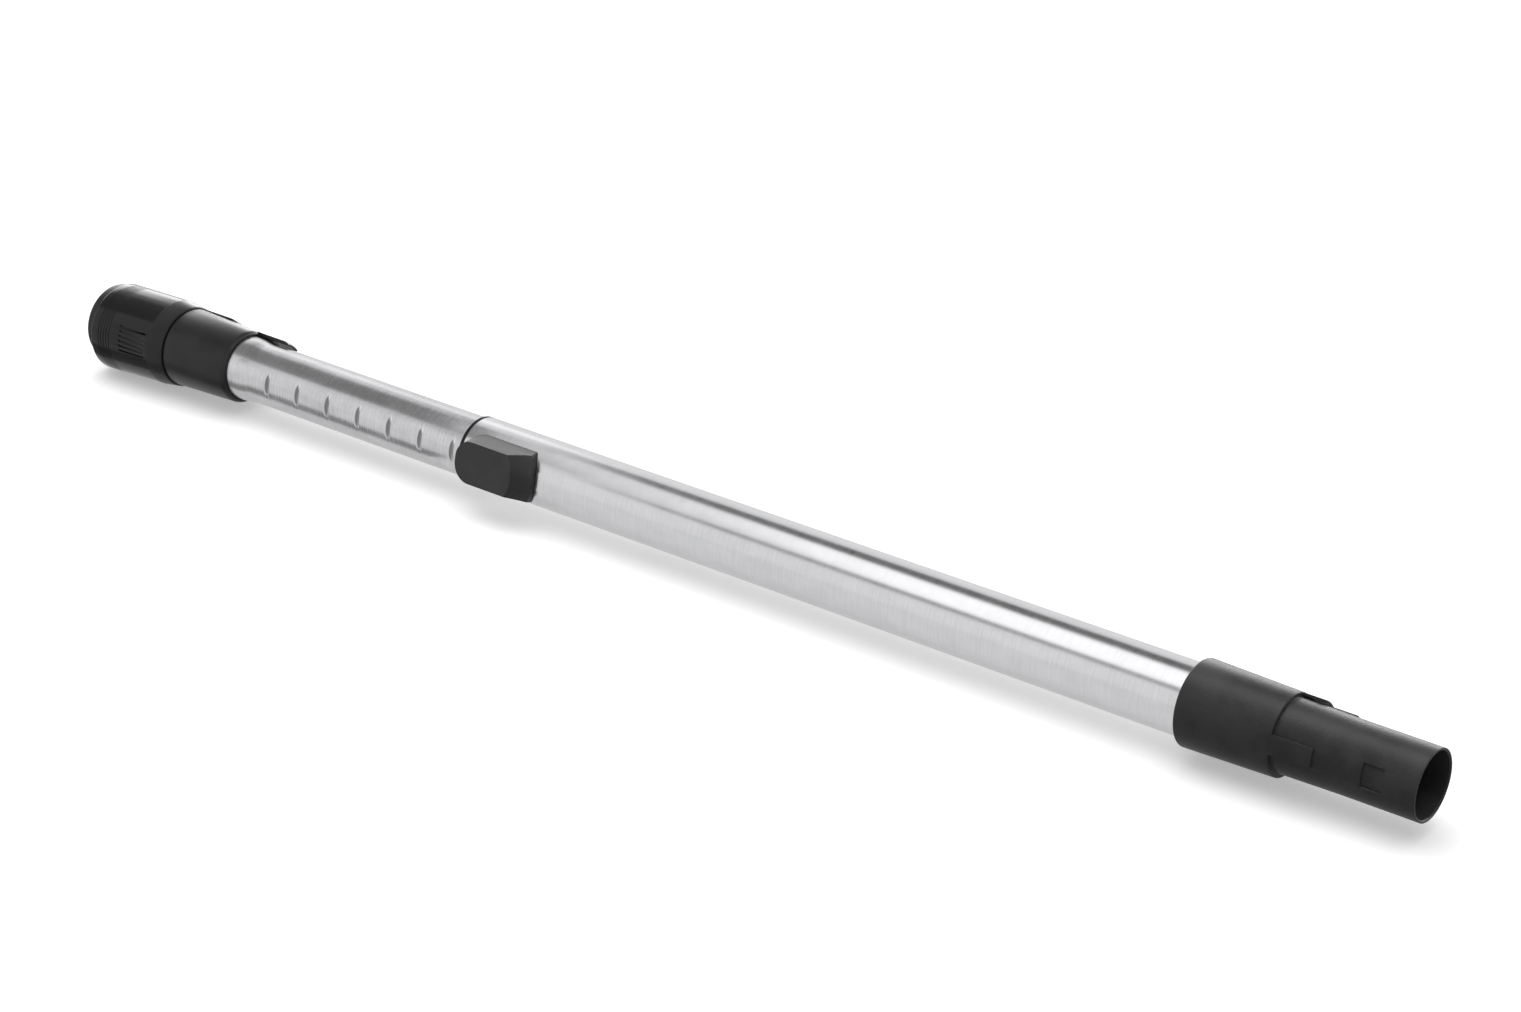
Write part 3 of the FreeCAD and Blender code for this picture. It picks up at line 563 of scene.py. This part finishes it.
def bowed_front():
    """A plate that ends in a half circle, which gives the button its bowed front."""
    centre = BUTTON_FRONT - BUTTON_BOW
    corners = [(BUTTON_REAR - 5.0, -BUTTON_BOW), (BUTTON_REAR - 5.0, BUTTON_BOW)]
    for step in range(97):
        angle = radians(90 - step * 180 / 96)
        corners.append((centre + BUTTON_BOW * cos(angle), BUTTON_BOW * sin(angle)))
    return prism(*([(x, y, height) for x, y in corners] for height in (-1.0, 40.0)))


def ramp_profile(x0, r0, x1, r1, curve):
    """Corners of a concave arc between two points of a profile."""
    chord = sqrt((x1 - x0) ** 2 + (r1 - r0) ** 2)
    rise = sqrt(curve ** 2 - chord ** 2 / 4)
    cx = (x0 + x1) / 2 + (r1 - r0) / chord * rise
    cr = (r0 + r1) / 2 - (x1 - x0) / chord * rise
    low, high = atan2(r0 - cr, x0 - cx), atan2(r1 - cr, x1 - cx)
    angles = [low + (high - low) * step / 24 for step in range(25)]
    return [(cx + curve * cos(angle), cr + curve * sin(angle), 0.0) for angle in angles]


# Socket end

def make_socket_collar():
    bottom, seat = BARREL_REAR + SOCKET_DEPTH, BARREL_REAR + 44.0
    body = as_object(lathe([
        (BARREL_REAR, SOCKET_RADIUS, 0.3), (bottom, SOCKET_RADIUS, 0.0), (bottom, 16.9, 0.0),
        (seat, 16.9, 0.0), (seat, 15.5, 0.0), (INNER_REAR, 15.5, 0.0),
        (INNER_REAR, 17.45, 0.0), (SATIN_FRONT, 17.45, 0.2), (SATIN_FRONT, 18.7, 0.4),
        (SATIN_FRONT - 1.4, 20.0, 1.0), (SATIN_REAR, 21.5, 0.4),
        (SATIN_REAR, BARREL_RADIUS, 0.0), (BARREL_REAR, BARREL_RADIUS, 0.3),
    ]), "socket_moulding")
    root, reach = SATIN_FRONT - 6.0, SATIN_FRONT + 22.0
    under = 18.1
    combined(body, sector([
        (root, under, 0.0), (reach, under - 0.3, 0.4), (reach, under + 0.7, 0.4),
        (reach - 2.2, 19.75, 1.2), (root, 19.85, 0.0),
    ], TAB_WIDTH, -SIDE_STEP), "UNION")
    strip_end, outside = SLEEVE_FRONT + 29.3, 30.0
    strip_width = 9.6       # at a radius of 21 mm
    combined(body, sector([
        (SLEEVE_FRONT, 19.7, 0.0), (strip_end, 19.7, 0.0), (strip_end, outside, 0.0),
        (SLEEVE_FRONT, outside, 0.0),
    ], strip_width * outside / 21.0, -SIDE_STEP), "DIFFERENCE")
    combined(body, block(rear("socket_pawl") - 0.1, front("socket_pawl") + 0.1, 8.2, 10.0, 24.0),
             "DIFFERENCE")
    finished(body, "inner", ["socket_collar"], SATIN, edge=0.2)


def make_mouth_ring():
    seat, step, bore = BARREL_REAR, BARREL_REAR + 3.0, BARREL_RADIUS + 0.05
    ring = as_object(lathe([
        (MOUTH_RING_REAR, 18.05, 0.6), (seat, 18.05, 0.0), (seat, bore, 0.0), (step, bore, 0.0),
        (step, 21.0, 0.2), (MOUTH_RING_REAR, 21.0, 0.9),
    ]), "mouth_rim")
    finished(ring, "inner", ["mouth_ring"], SATIN)


def make_release_sleeve():
    shoulder, lip = SLEEVE_FRONT - 10.0, SLEEVE_FRONT - 4.0
    guide_front, guide_rear = SLEEVE_FRONT - 38.5, SLEEVE_FRONT - 41.5
    shape = lathe([
        (SLEEVE_FRONT, SLEEVE_GUIDE_BORE, 0.0), (lip, SLEEVE_GUIDE_BORE, 0.0),
        (lip, SLEEVE_BORE, 0.0), (guide_front, SLEEVE_BORE, 0.0),
        (guide_front, SLEEVE_GUIDE_BORE, 0.0), (guide_rear, SLEEVE_GUIDE_BORE, 0.0),
        (guide_rear, SLEEVE_BORE, 0.0), (SLEEVE_REAR, SLEEVE_BORE, 0.3),
        (SLEEVE_REAR, SLEEVE_RADIUS, 0.9), *turned_lines(shoulder),
        (shoulder, SHOULDER_RADIUS, 0.5), (SLEEVE_FRONT, 22.3, 0.6),
    ])
    flare_out(shape, shoulder)
    sleeve = as_object(shape, "sleeve_moulding")
    for number in range(GROOVE_COUNT):
        side = (number - (GROOVE_COUNT - 1) / 2) * GROOVE_PITCH / 23.9 * 180 / pi
        combined(sleeve, block(SLEEVE_FRONT - 31.5, SLEEVE_FRONT - 12.5, GROOVE_WIDTH, 23.35,
                               26.0, side), "DIFFERENCE")
    root, tip = SLEEVE_FRONT - 3.9, SLEEVE_FRONT + 29.0
    combined(sleeve, sector([
        (root, 20.0, 0.0), (tip, 20.0, 0.2), (tip, 20.4, 0.2), (tip - 6.0, 22.0, 2.0),
        (root, 22.0, 0.0),
    ], 9.0, -SIDE_STEP), "UNION")
    rest_flat(sleeve, SLEEVE_REAR, SLEEVE_FRONT, 25.05)
    finished(sleeve, "sleeve", ["release_sleeve"], SLEEVE_BLACK, edge=0.15)


def turned_lines(shoulder):
    """Profile corners of the fine lines near the sleeve's rear end, which keep to its taper."""
    corners = []
    for number in range(LINE_COUNT):
        x = SLEEVE_REAR + 6.0 + number * LINE_PITCH
        skin = SLEEVE_RADIUS - 0.5 * (x - SLEEVE_REAR) / (shoulder - SLEEVE_REAR)
        for step, depth in ((-0.6, 0.0), (-0.35, 0.0), (-0.3, LINE_DEPTH), (0.3, LINE_DEPTH),
                            (0.35, 0.0), (0.6, 0.0)):
            corners.append((x + step, skin - depth, 0.0))
    return corners


def flare_out(shape, shoulder):
    """Lets the sleeve's outer skin drift off centre towards its mouth."""
    flare, side = 1.5, radians(68.5)    # mm at the mouth, and its direction from the latch line
    for vert in shape.verts:
        if vert.co.x < shoulder and sqrt(vert.co.y ** 2 + vert.co.z ** 2) > 22.0:
            share = (shoulder - vert.co.x) / (shoulder - SLEEVE_REAR)
            vert.co.y -= sin(side) * flare * share
            vert.co.z += cos(side) * flare * share


make_outer_tube()
make_inner_tube()
make_spigot_end()
make_release_button()
make_socket_collar()
make_mouth_ring()
make_release_sleeve()


# Floor, light and camera

CAMERA_PLACE = Vector((0.540, -1.1376, 0.737))
CAMERA_RIGHT = Vector((0.7904, 0.6126, 0.0))
CAMERA_DOWN = Vector((0.2723, -0.3514, -0.8957))
FOCAL_PIXELS = 3350.0
PHOTO_WIDTH = 1521.0
SENSOR_WIDTH = 36.0


def make_camera():
    data = bpy.data.cameras.new("camera")
    data.sensor_width = SENSOR_WIDTH
    data.lens = FOCAL_PIXELS / PHOTO_WIDTH * SENSOR_WIDTH
    data.clip_end = 100.0
    camera = bpy.data.objects.new("camera", data)
    right = CAMERA_RIGHT.normalized()
    up = (-CAMERA_DOWN).normalized()
    back = right.cross(up).normalized()
    turned = Matrix((right, up, back)).transposed().to_4x4()
    camera.matrix_world = Matrix.Translation(CAMERA_PLACE) @ turned
    bpy.context.scene.collection.objects.link(camera)
    bpy.context.scene.camera = camera


def make_floor():
    shape = bmesh.new()
    bmesh.ops.create_grid(shape, x_segments=1, y_segments=1, size=6.0)
    floor = linked(shape, "floor")
    floor.location = (-0.4, 0.0, CAD_BOX[0][2])
    floor.data.materials.append(floor_paper())


def floor_paper():
    """White paper. It glows faintly to the camera, so that it ends up white in the picture, and
    in reflections it's darker but glows more, so that it stays an even pale grey there."""
    nodes = Nodes("floor_paper", Roughness=0.9, Specular_IOR_Level=0.0, Emission_Strength=1.0)
    seen = nodes.add("ShaderNodeLightPath", {}, output=0)
    mirrored = nodes.add("ShaderNodeLightPath", {}, output=3)
    glow = nodes.mix(seen, grey(0.0, blue=1.0), grey(0.34, blue=1.0))
    return nodes.set(
        Base_Color=nodes.mix(mirrored, grey(0.93, blue=1.0), grey(0.3, blue=1.0)),
        Emission_Color=nodes.mix(mirrored, glow, grey(0.6, blue=1.0)),
    )


def make_world(ambient):
    """White to the camera and in reflections; diffuse surfaces get the ambient share of it."""
    world = bpy.data.worlds.new("studio")
    bpy.context.scene.world = world
    world.use_nodes = True
    tree = world.node_tree
    background = tree.nodes["Background"]
    background.inputs["Color"].default_value = (1.0, 1.0, 1.0, 1.0)
    path = tree.nodes.new("ShaderNodeLightPath")
    seen = path.outputs["Is Camera Ray"]
    for name in ("Is Glossy Ray", "Is Transmission Ray"):
        most = tree.nodes.new("ShaderNodeMath")
        most.operation = "MAXIMUM"
        tree.links.new(seen, most.inputs[0])
        tree.links.new(path.outputs[name], most.inputs[1])
        seen = most.outputs[0]
    level = tree.nodes.new("ShaderNodeMapRange")
    level.inputs["To Min"].default_value = ambient
    tree.links.new(seen, level.inputs["Value"])
    tree.links.new(level.outputs["Result"], background.inputs["Strength"])


def make_lamp(name, place, aim, size, radiance, receivers=(), glossy=True):
    """A softbox of a given brightness, where 1 looks white. It lights its receivers only, or
    all pieces where none are given."""
    data = bpy.data.lights.new(name, "AREA")
    data.shape = "RECTANGLE"
    data.size, data.size_y = size
    data.energy = radiance * pi * size[0] * size[1]
    lamp = bpy.data.objects.new(name, data)
    lamp.location = place
    lamp.rotation_euler = (Vector(aim) - Vector(place)).to_track_quat("-Z", "Y").to_euler()
    lamp.visible_camera = False
    lamp.visible_glossy = glossy
    bpy.context.scene.collection.objects.link(lamp)
    if receivers:
        lit = bpy.data.collections.new(name + "_lit")
        for piece in receivers:
            lit.objects.link(piece)
        lamp.light_linking.receiver_collection = lit


def make_card(name, corners, level):
    """A studio card that only reflections see."""
    shape = bmesh.new()
    shape.faces.new([shape.verts.new(corner) for corner in corners])
    card = linked(shape, name)
    card.data.materials.append(glowing(name + "_paper", level))
    card.visible_camera = False
    card.visible_diffuse = False
    card.visible_shadow = False


def glowing(name, level):
    """A paper that looks equally bright wherever it is."""
    return Nodes(name, Base_Color=grey(0.0), Specular_IOR_Level=0.0,
                 Emission_Color=grey(1.0, blue=1.0), Emission_Strength=level).material


def round_card(name, first, last, distance, x0, x1, level):
    """A card along the wand, between two angles above the front horizon."""
    ends = []
    for angle in (first, last):
        y, z = -cos(radians(angle)) * distance, sin(radians(angle)) * distance
        ends.append([(x0, y, z), (x1, y, z)])
    make_card(name, ends[0] + ends[1][::-1], level)


def floor_card(name, x0, x1, y0, y1, level):
    """A card that lies on the floor."""
    height = CAD_BOX[0][2] + 1.0 * MM
    make_card(name, [(x0, y0, height), (x1, y0, height), (x1, y1, height), (x0, y1, height)],
              level)


def made_of(*materials):
    """The scene's pieces with one of these materials."""
    return [piece for piece in bpy.context.scene.objects
            if piece.type == "MESH" and piece.data.materials
            and piece.data.materials[0] in materials]


make_camera()
make_floor()
make_world(0.45)
BLACKS = made_of(GRAINED, SATIN, BUTTON_BLACK, SLEEVE_BLACK)
BUTTONS = made_of(BUTTON_BLACK)
make_lamp("softbox", (-0.2, -0.27, 1.4), (-0.2, -0.27, 0.0), (2.2, 1.34), 0.58)
make_lamp("key", (-0.8, 0.3, 1.8), (-0.4, 0.0, 0.0), (2.2, 2.2), 1.5, glossy=False)
make_lamp("top", (-0.1, 0.05, 0.9), (-0.1, 0.0, 0.0), (1.2, 0.5), 5.5, BLACKS)
make_lamp("rim", (-0.4, 1.3, 0.25), (-0.4, 0.0, 0.0), (2.8, 0.5), 7.0, BLACKS)
make_lamp("face", (-1.35, -0.85, 0.3), (-0.5, 0.0, 0.0), (0.7, 0.6), 4.0, BUTTONS)
make_lamp("back_left", (-1.9, 0.94, 0.36), (-0.75, 0.0, 0.0), (1.5, 0.8), 3.0, BLACKS)
round_card("back_card", 110.0, 137.5, 0.9, -1.2, 2.6, 0.14)
round_card("front_card", 43.5, 54.5, 0.9, -1.2, 2.6, 0.3)
round_card("notch_card", 57.0, 112.0, 0.12, -0.764, -0.6, 0.27)
round_card("limb_card", 138.0, 158.0, 0.9, -1.62, -1.2, 1.5)
round_card("socket_card", 60.0, 119.0, 1.0, -3.4, -1.4, 0.34)
floor_card("near_card", -0.9, -0.56, -0.048, -0.026, 0.3)

bpy.context.scene.view_settings.view_transform = "Standard"
